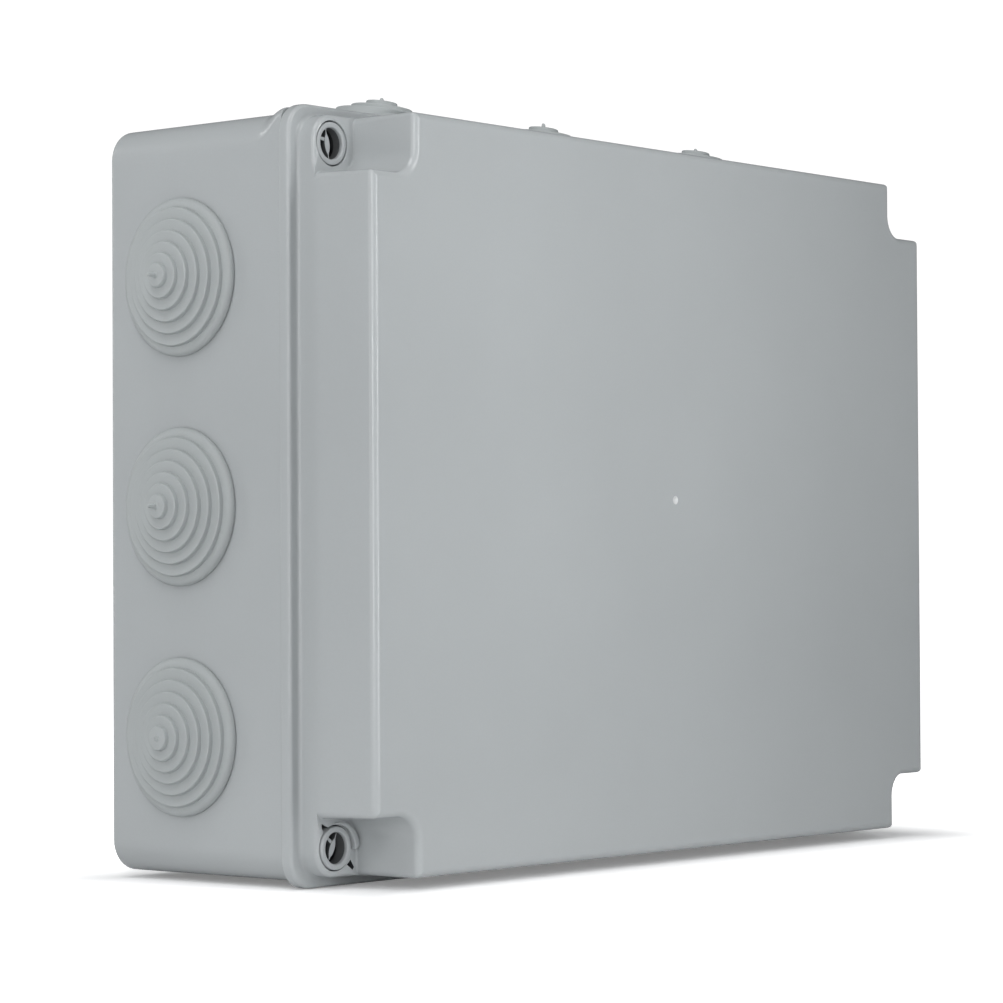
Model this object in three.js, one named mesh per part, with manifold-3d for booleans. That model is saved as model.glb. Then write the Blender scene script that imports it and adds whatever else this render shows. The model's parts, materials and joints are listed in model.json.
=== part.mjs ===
// Surface-mounted electrical junction box, light grey thermoplastic.
// Millimetres, +Z up. The box hangs on a wall: the wall plane is Y = 0, the
// lid faces -Y, and the origin is the centre of the back face.
import * as THREE from "three";
import { mergeVertices } from "three/addons/utils/BufferGeometryUtils.js";
import Module from "manifold-3d";

const wasm = await Module();
wasm.setup();

// ---------------------------------------------------------------- dimensions
const GAP = 0.3;            // clearance kept between neighbouring pieces

// overall box
const RIM_X = 155.0;        // half width over the lid flange
const RIM_Z = 120.0;        // half height over the lid flange
const RIM_R = 9.4;          // flange corner radius
const DEPTH = 110.0;        // wall plane to lid face

// base
const BASE_X = 153.2;       // half width of the base walls, outside
const BASE_Z = 118.2;       // half height of the base walls, outside
const BASE_R = 10.0;        // outside corner radius
const BASE_WALL = 3.0;
const BASE_FLOOR = 3.5;
const BASE_FRONT = 75.8;    // wall plane to the front edge of the base walls
const BASE_BACK_FILLET = 1.5;
const POST_X = 132.0, POST_Z = 98.0;   // inner faces of the corner posts
const POST_FRONT = 73.6;

// lid
const LID_X = 151.0;        // half width of the lid body
const LID_Z = 116.5;
const LID_R = 10.0;
const LID_WALL = 3.0;
const LID_PLATE = 3.0;
const LID_LEDGE = 79.2;     // front side of the flange
const LID_SKIRT_END = 75.0; // back edge of the flange
const LID_EDGE_FILLET = 2.4;
const NOTCH_X = 19.3;       // screw pocket, open to two sides: width
const NOTCH_Z = 18.8;       // and height
const NOTCH_R = 8.0;
const NOTCH_LIP_R = 2.2;
const NOTCH_FLOOR = 86.3;
const RIB_OUT_X = 149.9, RIB_OUT_Z = 114.9, RIB_END = 74.0;
const GROOVE_X = 153.5, GROOVE_Z = 118.5, GROOVE_TOP = 77.3;

// lid screws: quarter turn, plastic
const LS_X = 143.0, LS_Z = 107.5;
const LS_HEAD_R = 6.65, LS_HEAD_FRONT = 87.1, LS_HEAD_BACK = 82.3;
const LS_RECESS_R = 4.85, LS_RECESS_DEPTH = 3.4;
const LS_SHANK_R = 3.4, LS_END = 60.0;
const LS_LUG_R = 4.9;

// cable membranes
const G_HOLE_R = 21.0;
const G_Y = -31.5;                       // distance of the side row from the wall
const G_SIDE_Z = [69.1, -2.8, -74.7];    // side row
const G_TOP_X = [-88, 0, 88];            // top row
const G_TOP_Y = -55.6;
const G_TOP_HOLE_R = 15.0;

// inside
const RAIL_HALF = 115, RAIL_BACK = 9.3;
const TB_PITCH = 8.6, TB_WIDTH = 8.2;
const FIX_X = 118, FIX_Z = 84;           // wall fixing holes

// ------------------------------------------------------------------- helpers
function toSolid(g) {
  let b = g.clone();
  b.deleteAttribute("normal");
  b.deleteAttribute("uv");
  b = mergeVertices(b, 1e-4);
  const tri = b.index.array, keep = [];
  for (let i = 0; i < tri.length; i += 3) {
    if (tri[i] !== tri[i + 1] && tri[i + 1] !== tri[i + 2] && tri[i] !== tri[i + 2]) {
      keep.push(tri[i], tri[i + 1], tri[i + 2]);
    }
  }
  return new wasm.Manifold(new wasm.Mesh({
    numProp: 3,
    vertProperties: new Float32Array(b.attributes.position.array),
    triVerts: new Uint32Array(keep),
  }));
}
function toGeometry(m) {
  const o = m.getMesh();
  const g = new THREE.BufferGeometry();
  g.setAttribute("position", new THREE.BufferAttribute(new Float32Array(o.vertProperties), 3));
  g.setIndex(new THREE.BufferAttribute(new Uint32Array(o.triVerts), 1));
  g.computeVertexNormals();
  return g;
}
// rounded rectangle in the X-Z plane
function roundRect(hx, hz, r) {
  const s = new THREE.Shape();
  s.moveTo(-hx + r, -hz);
  s.lineTo(hx - r, -hz);
  s.absarc(hx - r, -hz + r, r, -Math.PI / 2, 0, false);
  s.lineTo(hx, hz - r);
  s.absarc(hx - r, hz - r, r, 0, Math.PI / 2, false);
  s.lineTo(-hx + r, hz);
  s.absarc(-hx + r, hz - r, r, Math.PI / 2, Math.PI, false);
  s.lineTo(-hx, -hz + r);
  s.absarc(-hx + r, -hz + r, r, Math.PI, 1.5 * Math.PI, false);
  return s;
}
// rectangle with a notch of nx by nz out of each corner; q is the notch's
// inner corner radius and p the radius of the two outer corners beside it
function notched(hx, hz, nx, nz, q, p) {
  const s = new THREE.Shape();
  const corner = [[1, -1], [1, 1], [-1, 1], [-1, -1]];
  let first = true;
  corner.forEach(([sx, sz], i) => {
    const ax = sx * (hx - nx), az = sz * (hz - nz);
    // pieces are listed counter-clockwise: even corners are entered along X
    const enterX = (i % 2 === 0);
    const pts = [];
    if (enterX) {
      pts.push({ c: [ax - sx * p, sz * (hz - p)], r: p, a0: sz * Math.PI / 2, a1: sx > 0 ? 0 : Math.PI, cw: false });
      pts.push({ c: [ax + sx * q, az + sz * q], r: q, a0: sx > 0 ? Math.PI : 0, a1: -sz * Math.PI / 2, cw: true });
      pts.push({ c: [sx * (hx - p), az - sz * p], r: p, a0: sz * Math.PI / 2, a1: sx > 0 ? 0 : Math.PI, cw: false });
    } else {
      pts.push({ c: [sx * (hx - p), az - sz * p], r: p, a0: sx > 0 ? 0 : Math.PI, a1: sz * Math.PI / 2, cw: false });
      pts.push({ c: [ax + sx * q, az + sz * q], r: q, a0: -sz * Math.PI / 2, a1: sx > 0 ? Math.PI : 0, cw: true });
      pts.push({ c: [ax - sx * p, sz * (hz - p)], r: p, a0: sx > 0 ? 0 : Math.PI, a1: sz * Math.PI / 2, cw: false });
    }
    for (const a of pts) {
      const x0 = a.c[0] + a.r * Math.cos(a.a0), z0 = a.c[1] + a.r * Math.sin(a.a0);
      if (first) { s.moveTo(x0, z0); first = false; } else s.lineTo(x0, z0);
      s.absarc(a.c[0], a.c[1], a.r, a.a0, a.a1, a.cw);
    }
  });
  return s;
}
// prism along Y: shape drawn in X-Z, running from y0 (nearer the wall) to y1
function prism(shape, y0, y1, seg = 4, bevel = null) {
  const opt = { depth: y0 - y1, curveSegments: seg, bevelEnabled: false };
  if (bevel) {
    Object.assign(opt, {
      depth: y0 - y1 - 2 * bevel.t, bevelEnabled: true, bevelThickness: bevel.t,
      bevelSize: bevel.t, bevelOffset: -bevel.t, bevelSegments: bevel.n,
    });
  }
  const g = new THREE.ExtrudeGeometry(shape, opt);
  if (bevel) g.translate(0, 0, bevel.t);
  g.rotateX(Math.PI / 2);
  g.translate(0, y0, 0);
  return toSolid(g);
}
function box(x0, x1, y0, y1, z0, z1) {
  const g = new THREE.BoxGeometry(x1 - x0, y1 - y0, z1 - z0);
  g.translate((x0 + x1) / 2, (y0 + y1) / 2, (z0 + z1) / 2);
  return toSolid(g);
}
function cylY(r, y0, y1, x, z, seg = 24) {
  const g = new THREE.CylinderGeometry(r, r, y0 - y1, seg);
  g.translate(x, (y0 + y1) / 2, z);
  return toSolid(g);
}
function cylX(r, x0, x1, y, z, seg = 36) {
  const g = new THREE.CylinderGeometry(r, r, x1 - x0, seg);
  g.rotateZ(Math.PI / 2);
  g.translate((x0 + x1) / 2, y, z);
  return toSolid(g);
}
function cylZ(r, z0, z1, x, y, seg = 24) {
  const g = new THREE.CylinderGeometry(r, r, z1 - z0, seg);
  g.rotateX(Math.PI / 2);
  g.translate(x, y, (z0 + z1) / 2);
  return toSolid(g);
}
// section drawn in (Z, Y), extruded along X from x0 to x1
function section(points, x0, x1) {
  const s = new THREE.Shape(points.map(([z, y]) => new THREE.Vector2(z, y)));
  const g = new THREE.ExtrudeGeometry(s, { depth: x1 - x0, bevelEnabled: false });
  // (a, b, c) -> X = c, Y = b, Z = a, then mirrored back to keep faces outward
  const p = g.attributes.position;
  for (let i = 0; i < p.count; i++) {
    const a = p.getX(i), b = p.getY(i), c = p.getZ(i);
    p.setXYZ(i, x0 + c, b, a);
  }
  const idx = g.index ? g.index.array : null;
  const n = p.count;
  const out = new THREE.BufferGeometry();
  out.setAttribute("position", new THREE.BufferAttribute(new Float32Array(p.array), 3));
  const tri = [];
  const total = idx ? idx.length : n;
  for (let i = 0; i < total; i += 3) {
    const q = idx ? [idx[i], idx[i + 1], idx[i + 2]] : [i, i + 1, i + 2];
    tri.push(q[0], q[2], q[1]);
  }
  out.setIndex(tri);
  return toSolid(out);
}

// ----------------------------------------------------------------- materials
const mat = (color, roughness, metalness = 0) =>
  new THREE.MeshStandardMaterial({ color, roughness, metalness });
const GREY = 0xb4b7b8, SOFT = 0xb0b3b4, STEEL = 0xb9bcbf, SEAL = 0x3a3b3c;
const shellMat = () => mat(GREY, 0.45);

const root = new THREE.Group();
function add(name, solidOrGeometry, material) {
  const g = solidOrGeometry.isBufferGeometry ? solidOrGeometry : toGeometry(solidOrGeometry);
  const m = new THREE.Mesh(g, material);
  m.name = name;
  root.add(m);
  return m;
}
const corners = [["tl", -1, 1], ["tr", 1, 1], ["bl", -1, -1], ["br", 1, -1]];

// ---------------------------------------------------------------- base shell
{
  let base = prism(roundRect(BASE_X, BASE_Z, BASE_R), 0, -(BASE_FRONT + 12), 4,
    { t: BASE_BACK_FILLET, n: 3 });
  base = base.subtract(box(-200, 200, -(BASE_FRONT + 20), -BASE_FRONT, -200, 200));
  const r = BASE_R - BASE_WALL;
  base = base.subtract(prism(roundRect(BASE_X - BASE_WALL, BASE_Z - BASE_WALL, r),
    -BASE_FLOOR, -(BASE_FRONT + 5), 4));
  // solid corner posts that take the lid screws
  for (const [, sx, sz] of corners) {
    const x0 = sx > 0 ? POST_X : -(BASE_X - 2), x1 = sx > 0 ? BASE_X - 2 : -POST_X;
    const z0 = sz > 0 ? POST_Z : -(BASE_Z - 2), z1 = sz > 0 ? BASE_Z - 2 : -POST_Z;
    let post = box(x0, x1, -POST_FRONT, -(BASE_FLOOR - 1), z0, z1);
    post = post.intersect(prism(roundRect(BASE_X - 1, BASE_Z - 1, BASE_R - 1), -1, -BASE_FRONT, 4));
    base = base.add(post);
    base = base.subtract(cylY(5.3, -54, -(POST_FRONT + 1), sx * LS_X, sz * LS_Z, 16));
  }
  // bosses for the wall fixings, each with a through hole
  for (const [, sx, sz] of corners) {
    base = base.add(cylY(7.0, -BASE_FLOOR + 1, -7.5, sx * FIX_X, sz * FIX_Z, 16));
    base = base.subtract(cylY(2.75, 1, -9, sx * FIX_X, sz * FIX_Z, 12));
    base = base.subtract(cylY(4.9, -5.2, -9, sx * FIX_X, sz * FIX_Z, 16));
  }
  // bosses for the rail
  for (const sx of [-1, 1]) {
    base = base.add(cylY(6.0, -BASE_FLOOR + 1, -(RAIL_BACK - GAP), sx * 100, 0, 14));
    base = base.subtract(cylY(2.0, -3.0, -12, sx * 100, 0, 12));
  }
  // round openings for the cable membranes
  for (const z of G_SIDE_Z) {
    base = base.subtract(cylX(G_HOLE_R, -160, -140, G_Y, z, 24));
    base = base.subtract(cylX(G_HOLE_R, 140, 160, G_Y, z, 24));
  }
  for (const x of G_TOP_X) base = base.subtract(cylZ(G_TOP_HOLE_R, 110, 125, x, G_TOP_Y, 24));
  add("base_shell", base, shellMat());
}

// ----------------------------------------------------------------- lid shell
{
  let lid = prism(notched(LID_X, LID_Z, NOTCH_X, NOTCH_Z, NOTCH_R, NOTCH_LIP_R), -70, -DEPTH, 3,
    { t: LID_EDGE_FILLET - 0.3, n: 2 });
  lid = lid.subtract(box(-200, 200, -(LID_LEDGE - 2), -60, -200, 200));
  lid = lid.add(prism(roundRect(LID_X, LID_Z, LID_R), -(LID_LEDGE - 2), -NOTCH_FLOOR, 4));
  let flange = prism(roundRect(RIM_X, RIM_Z, RIM_R), -RIB_END + 8, -LID_LEDGE, 4, { t: 1.0, n: 1 });
  flange = flange.subtract(box(-200, 200, -RIB_END, -60, -200, 200));
  lid = lid.add(flange);
  // cavity
  lid = lid.subtract(prism(notched(LID_X - LID_WALL, LID_Z - LID_WALL, NOTCH_X, NOTCH_Z, NOTCH_R, NOTCH_LIP_R),
    -RIB_END + 5, -(DEPTH - LID_PLATE), 3));
  // groove that takes the seal and the edge of the base
  let groove = prism(roundRect(GROOVE_X, GROOVE_Z, BASE_R + GAP), -RIB_END + 3, -GROOVE_TOP, 4);
  let wide = prism(roundRect(RIM_X + 5, RIM_Z + 5, RIM_R + 5), -RIB_END + 3, -LID_SKIRT_END, 2);
  const rib = prism(roundRect(RIB_OUT_X, RIB_OUT_Z, BASE_R + GAP - 3.6), -RIB_END + 6, -(GROOVE_TOP + 3), 4);
  groove = groove.add(wide).subtract(rib);
  lid = lid.subtract(groove);
  // screw seats and bores
  for (const [, sx, sz] of corners) {
    lid = lid.subtract(cylY(LS_HEAD_R + 0.35, -(LS_HEAD_BACK - GAP), -95, sx * LS_X, sz * LS_Z, 18));
    lid = lid.subtract(cylY(LS_SHANK_R + 0.35, -70, -95, sx * LS_X, sz * LS_Z, 14));
  }
  add("lid_shell", lid, shellMat());
}

// ---------------------------------------------------------------------- seal
{
  let seal = prism(roundRect(BASE_X - 0.3, BASE_Z - 0.3, BASE_R - 0.3), -(BASE_FRONT + GAP), -(GROOVE_TOP - GAP), 4);
  seal = seal.subtract(prism(roundRect(BASE_X - 2.7, BASE_Z - 2.7, BASE_R - 2.7), -(BASE_FRONT - 2), -(GROOVE_TOP + 2), 4));
  add("lid_gasket", seal, mat(SEAL, 0.9));
}

// ---------------------------------------------------------------- lid screws
for (const [tag, sx, sz] of corners) {
  const x = sx * LS_X, z = sz * LS_Z;
  let s = cylY(LS_HEAD_R, -LS_HEAD_BACK, -LS_HEAD_FRONT, x, z, 18);
  s = s.subtract(cylY(LS_RECESS_R, -(LS_HEAD_FRONT - LS_RECESS_DEPTH), -90, x, z, 16));
  // driver bar across the recess, with a gap in its middle
  s = s.add(box(x - 1.2, x + 1.2, -(LS_HEAD_FRONT - 0.9), -(LS_HEAD_BACK + 1), z - 4.85, z - 1.1));
  s = s.add(box(x - 1.2, x + 1.2, -(LS_HEAD_FRONT - 0.9), -(LS_HEAD_BACK + 1), z + 1.1, z + 4.85));
  s = s.add(cylY(LS_SHANK_R, -LS_END, -(LS_HEAD_BACK + 0.4), x, z, 14));
  // two locking lugs near the tip
  let lug = box(x - 1.5, x + 1.5, -64.5, -61.5, z - LS_LUG_R, z + LS_LUG_R);
  lug = lug.intersect(cylY(LS_LUG_R, -61, -65, x, z, 16));
  s = s.add(lug);
  add("lid_screw_" + tag, s, mat(GREY, 0.5));
}

// ---------------------------------------------------------- cable membranes
// stepped cone, hollow from the inside, turned about its own axis; heights are
// measured from the outer face of the wall
function membrane(hole, flangeR, flangeH, steps, nib, seg) {
  const p = [];
  const T = 1.3;
  const neck = hole - GAP;
  // inner surface, from the axis out to the inner lip
  const top = steps[steps.length - 1][1];
  p.push([0, top - T]);
  p.push([steps[steps.length - 1][0] + 0.4, top - T]);
  p.push([neck - 1.8, 0.4]);
  p.push([neck - 1.8, -5.0]);
  p.push([neck - 0.2, -5.0]);
  p.push([neck + 1.6, -BASE_WALL - GAP]);
  p.push([neck, -BASE_WALL - GAP]);
  p.push([neck, GAP]);
  p.push([flangeR, GAP]);
  p.push([flangeR, flangeH - 0.8]);
  p.push([flangeR - 0.8, flangeH]);
  let level = flangeH;
  for (const [r, h] of steps) {
    p.push([r, level]);
    p.push([r, h]);
    level = h;
  }
  if (nib) {
    p.push([nib[0], level]);
    p.push([nib[0] * 0.7, nib[1]]);
    p.push([0, nib[1]]);
  } else {
    p.push([0, level]);
  }
  // the profile runs from the axis on the inside to the axis on the outside
  const g = new THREE.LatheGeometry(p.map(([a, b]) => new THREE.Vector2(a, b)), seg);
  return g;
}
function place(g, centre, dir) {
  // the turned piece's axis is +Y; aim it along dir
  const q = new THREE.Quaternion().setFromUnitVectors(new THREE.Vector3(0, 1, 0), dir);
  g.applyQuaternion(q);
  g.translate(centre.x, centre.y, centre.z);
  return toGeometry(toSolid(g));
}
const SIDE_STEPS = [[21.7, 4.15], [18.0, 5.6], [14.4, 7.05], [10.8, 8.5], [7.2, 9.95], [3.8, 11.4]];
const TOP_STEPS = [[15.0, 6.85], [10.0, 8.65], [5.1, 10.45]];
G_SIDE_Z.forEach((z, i) => {
  const nib = i < 2 ? [0.9, 15.4] : [1.2, 12.0];
  add("cable_membrane_left_" + (i + 1),
    place(membrane(G_HOLE_R, 24.8, 2.7, SIDE_STEPS, nib, 16), new THREE.Vector3(-BASE_X, G_Y, z), new THREE.Vector3(-1, 0, 0)),
    mat(SOFT, 0.6));
});
G_SIDE_Z.forEach((z, i) => {
  add("cable_membrane_right_" + (i + 1),
    place(membrane(G_HOLE_R, 24.8, 2.7, SIDE_STEPS, i < 2 ? [0.9, 15.4] : [1.2, 12.0], 16), new THREE.Vector3(BASE_X, G_Y, z), new THREE.Vector3(1, 0, 0)),
    mat(SOFT, 0.6));
});
G_TOP_X.forEach((x, i) => {
  add("cable_membrane_top_" + (i + 1),
    place(membrane(G_TOP_HOLE_R, 18.4, 4.9, TOP_STEPS, [0.8, 12.3], 16), new THREE.Vector3(x, G_TOP_Y, BASE_Z), new THREE.Vector3(0, 0, 1)),
    mat(SOFT, 0.6));
});

// ------------------------------------------------------ wall fixing plugs
for (const [tag, sx, sz] of corners) {
  const x = sx * FIX_X, z = sz * FIX_Z;
  let s = cylY(6.4, -(7.5 + GAP), -9.6, x, z, 14);
  s = s.add(cylY(4.5, -6.2, -8.2, x, z, 14));
  add("fixing_cap_" + tag, s, mat(GREY, 0.5));
}

// ----------------------------------------------------------------- DIN rail
{
  const b = -RAIL_BACK, t = 1.0;
  const pts = [
    [-17.5, b - 7.5], [-17.5, b - 6.5], [-12.5, b - 6.5], [-12.5, b], [12.5, b], [12.5, b - 6.5],
    [17.5, b - 6.5], [17.5, b - 7.5], [11.5, b - 7.5], [11.5, b - t], [-11.5, b - t], [-11.5, b - 7.5],
  ];
  let rail = section(pts, -RAIL_HALF, RAIL_HALF);
  for (const x of [-100, -75, -50, 50, 75, 100]) {
    rail = rail.subtract(box(x - 5, x + 5, b - 3, b + 1, -2.6, 2.6));
    rail = rail.subtract(cylY(2.6, b + 1, b - 3, x - 5, 0, 8));
    rail = rail.subtract(cylY(2.6, b + 1, b - 3, x + 5, 0, 8));
  }
  add("din_rail", rail, mat(STEEL, 0.35, 0.9));
  for (const [tag, x] of [["left", -100], ["right", 100]]) {
    let s = cylY(4.4, -(RAIL_BACK + 1 + GAP), -(RAIL_BACK + 3.7), x, 0, 14);
    s = s.subtract(box(x - 0.6, x + 0.6, -20, -(RAIL_BACK + 2.6), -5, 5));
    s = s.add(cylY(1.6, -4.5, -(RAIL_BACK + 1.6), x, 0, 12));
    add("rail_screw_" + tag, s, mat(STEEL, 0.3, 1));
  }
}

// ------------------------------------------------------------ terminal blocks
const railFront = -(RAIL_BACK + 7.5);
function clip(front, high, shoulder, low) {
  const f = railFront - GAP;         // face that rests on the rail
  const k = railFront + 1.0 + GAP;   // behind the rail's flanges
  return [
    [-20.6, k + 1.6], [-16.4, k + 1.6], [-16.4, k], [-17.8, k], [-17.8, f], [17.8, f], [17.8, k], [16.4, k],
    [16.4, k + 1.6], [20.6, k + 1.6], [20.6, f - 2], [high, f - 5], [high, -shoulder], [low, -front],
    [-low, -front], [-high, -shoulder], [-high, f - 5], [-20.6, f - 2],
  ];
}
const TB_SCREW_Z = 13.5;
const blocks = [
  ["terminal_l1", 0x8d9093], ["terminal_l2", 0x8d9093], ["terminal_l3", 0x8d9093],
  ["terminal_neutral", 0x2f5f9e], ["terminal_earth", 0x4f9a3c],
];
blocks.forEach(([name, colour], i) => {
  const xc = (i - 2) * TB_PITCH, x0 = xc - TB_WIDTH / 2, x1 = xc + TB_WIDTH / 2;
  let s = section(clip(56, 24, 40, 17), x0, x1);
  for (const sz of [-1, 1]) {
    s = s.subtract(cylY(3.1, -34, -60, xc, sz * TB_SCREW_Z, 12));   // screw shaft
    const z0 = sz > 0 ? 17.5 : -26, z1 = sz > 0 ? 26 : -17.5;
    s = s.subtract(cylZ(2.9, z0, z1, xc, -31, 12));                // wire entry
  }
  s = s.subtract(box(x0 - 1, x1 + 1, -57, -52.5, -5, 5));           // marker slot
  add(name, s, mat(colour, 0.5));
  for (const [tag, sz] of [["top", 1], ["bottom", -1]]) {
    let c = cylY(2.7, -35, -43, xc, sz * TB_SCREW_Z, 12);
    c = c.subtract(box(xc - 0.45, xc + 0.45, -50, -41.8, sz * TB_SCREW_Z - 4, sz * TB_SCREW_Z + 4));
    add(name + "_screw_" + tag, c, mat(STEEL, 0.3, 1));
  }
});
for (const [tag, sx] of [["left", -1], ["right", 1]]) {
  const xc = sx * (2.5 * TB_PITCH + 5.2);
  let s = section(clip(44, 21.5, 36, 12), xc - 4.6, xc + 4.6);
  s = s.subtract(box(xc - 6, xc + 6, -45, -41, -4, 4));
  add("end_bracket_" + tag, s, mat(0x9a9d9f, 0.5));
}

export default root;
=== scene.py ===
import json
import math

import bmesh
import bpy
from mathutils import Matrix, Vector


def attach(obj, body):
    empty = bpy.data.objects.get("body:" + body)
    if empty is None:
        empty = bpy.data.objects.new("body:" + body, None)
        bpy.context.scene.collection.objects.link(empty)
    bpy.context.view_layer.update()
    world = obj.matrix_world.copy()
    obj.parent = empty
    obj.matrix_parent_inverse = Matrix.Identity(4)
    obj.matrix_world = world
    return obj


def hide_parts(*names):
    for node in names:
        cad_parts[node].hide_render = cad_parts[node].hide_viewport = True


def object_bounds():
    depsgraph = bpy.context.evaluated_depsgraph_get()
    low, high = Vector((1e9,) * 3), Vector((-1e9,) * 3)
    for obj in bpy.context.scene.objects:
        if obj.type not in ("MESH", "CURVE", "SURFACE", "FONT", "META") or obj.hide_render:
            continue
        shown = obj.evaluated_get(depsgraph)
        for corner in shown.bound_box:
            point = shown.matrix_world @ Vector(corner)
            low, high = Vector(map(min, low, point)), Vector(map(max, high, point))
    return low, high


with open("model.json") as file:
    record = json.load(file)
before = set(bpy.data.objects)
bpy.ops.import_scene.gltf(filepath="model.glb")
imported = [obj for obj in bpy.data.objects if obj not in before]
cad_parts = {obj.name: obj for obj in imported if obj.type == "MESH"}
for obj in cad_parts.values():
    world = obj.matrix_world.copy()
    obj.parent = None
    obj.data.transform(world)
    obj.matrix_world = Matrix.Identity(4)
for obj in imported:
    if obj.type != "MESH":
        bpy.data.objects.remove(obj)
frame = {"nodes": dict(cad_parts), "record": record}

CAD_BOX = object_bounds()
MM = 0.001
PI = math.pi


def body_of(node):
    for body, members in frame["record"]["behaviour"]["bodies"].items():
        if node in members:
            return body
    return "base"


# ---------------------------------------------------------------- materials
def new_material(name):
    m = bpy.data.materials.new(name)
    m.use_nodes = True
    nt = m.node_tree
    nt.nodes.clear()
    out = nt.nodes.new("ShaderNodeOutputMaterial")
    bsdf = nt.nodes.new("ShaderNodeBsdfPrincipled")
    nt.links.new(bsdf.outputs["BSDF"], out.inputs["Surface"])
    return m, nt, bsdf


def coords(nt, scale=(1, 1, 1)):
    tc = nt.nodes.new("ShaderNodeTexCoord")
    mp = nt.nodes.new("ShaderNodeMapping")
    mp.inputs["Scale"].default_value = scale
    nt.links.new(tc.outputs["Object"], mp.inputs["Vector"])
    return mp.outputs["Vector"]


def noise(nt, vec, scale, detail=2.0, rough=0.5):
    n = nt.nodes.new("ShaderNodeTexNoise")
    n.inputs["Scale"].default_value = scale
    n.inputs["Detail"].default_value = detail
    n.inputs["Roughness"].default_value = rough
    nt.links.new(vec, n.inputs["Vector"])
    return n.outputs["Fac"]


def ramp(nt, fac, stops):
    r = nt.nodes.new("ShaderNodeValToRGB")
    el = r.color_ramp.elements
    while len(el) < len(stops):
        el.new(0.5)
    for e, (pos, col) in zip(el, stops):
        e.position = pos
        e.color = (*col, 1.0) if len(col) == 3 else col
    nt.links.new(fac, r.inputs["Fac"])
    return r.outputs["Color"]


def maprange(nt, value, lo, hi, a=0.0, b=1.0):
    m = nt.nodes.new("ShaderNodeMapRange")
    m.inputs["From Min"].default_value = a
    m.inputs["From Max"].default_value = b
    m.inputs["To Min"].default_value = lo
    m.inputs["To Max"].default_value = hi
    nt.links.new(value, m.inputs["Value"])
    return m.outputs["Result"]


def mix(nt, fac, a, b, kind="MIX"):
    m = nt.nodes.new("ShaderNodeMix")
    m.data_type = "RGBA"
    m.blend_type = kind
    for v, sock in ((fac, m.inputs[0]), (a, m.inputs[6]), (b, m.inputs[7])):
        if hasattr(v, "is_linked") or hasattr(v, "links"):
            nt.links.new(v, sock)
        elif isinstance(v, (tuple, list)):
            sock.default_value = (*v, 1.0) if len(v) == 3 else v
        else:
            sock.default_value = v
    return m.outputs[2]


def bump(nt, height, strength, distance, normal=None):
    b = nt.nodes.new("ShaderNodeBump")
    b.inputs["Strength"].default_value = strength
    b.inputs["Distance"].default_value = distance
    nt.links.new(height, b.inputs["Height"])
    if normal is not None:
        nt.links.new(normal, b.inputs["Normal"])
    return b.outputs["Normal"]


def plastic(name, colour, rough=0.42, grain=0.35, grain_size=0.45, spread=0.03,
            wave=0.25, specular=0.5, ior=1.5, sss=0.0, flow=True):
    """Moulded plastic: spark-eroded grain, slow colour drift, faint flow streaks,
    a shallow waviness of the flat walls and a patchy gloss."""
    m, nt, b = new_material(name)
    v = coords(nt)
    lo = tuple(c * (1 - spread) for c in colour)
    hi = tuple(min(1.0, c * (1 + spread)) for c in colour)
    drift = noise(nt, v, 9.0, 3.0, 0.55)
    col = ramp(nt, drift, [(0.3, lo), (0.7, hi)])
    speck = noise(nt, v, 1500.0, 2.0, 0.6)
    col = mix(nt, maprange(nt, speck, 0.0, 0.16, 0.35, 0.75), col, tuple(c * 0.86 for c in colour))
    if flow:
        vs = coords(nt, (1.0, 1.0, 0.22))
        streak = noise(nt, vs, 34.0, 4.0, 0.6)
        col = mix(nt, maprange(nt, streak, 0.0, 0.12, 0.45, 0.8), col, hi)
    nt.links.new(col, b.inputs["Base Color"])
    gl = noise(nt, v, 45.0, 4.0, 0.6)
    nt.links.new(maprange(nt, gl, rough - 0.045, rough + 0.055, 0.25, 0.75), b.inputs["Roughness"])
    b.inputs["Specular IOR Level"].default_value = specular
    b.inputs["IOR"].default_value = ior
    if sss > 0:
        b.inputs["Subsurface Weight"].default_value = sss
        b.inputs["Subsurface Radius"].default_value = (0.8, 0.8, 0.7)
        b.inputs["Subsurface Scale"].default_value = 0.002
    slow = bump(nt, noise(nt, v, 16.0, 1.0, 0.4), wave, 0.0009)
    fine = bump(nt, noise(nt, v, 1000.0 / grain_size, 2.0, 0.55), grain, 0.00005, slow)
    nt.links.new(fine, b.inputs["Normal"])
    return m


def metal(name, colour, rough=0.32, stretch=(1, 1, 1), scratch=0.25):
    m, nt, b = new_material(name)
    v = coords(nt, stretch)
    v0 = coords(nt)
    pat = noise(nt, v0, 60.0, 5.0, 0.65)
    col = ramp(nt, pat, [(0.3, tuple(c * 0.86 for c in colour)), (0.7, tuple(min(1, c * 1.08) for c in colour))])
    nt.links.new(col, b.inputs["Base Color"])
    b.inputs["Metallic"].default_value = 1.0
    line = noise(nt, v, 900.0, 3.0, 0.7)
    nt.links.new(maprange(nt, line, rough - 0.1, rough + 0.14, 0.2, 0.8), b.inputs["Roughness"])
    nt.links.new(bump(nt, line, scratch, 0.00004), b.inputs["Normal"])
    return m


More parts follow.
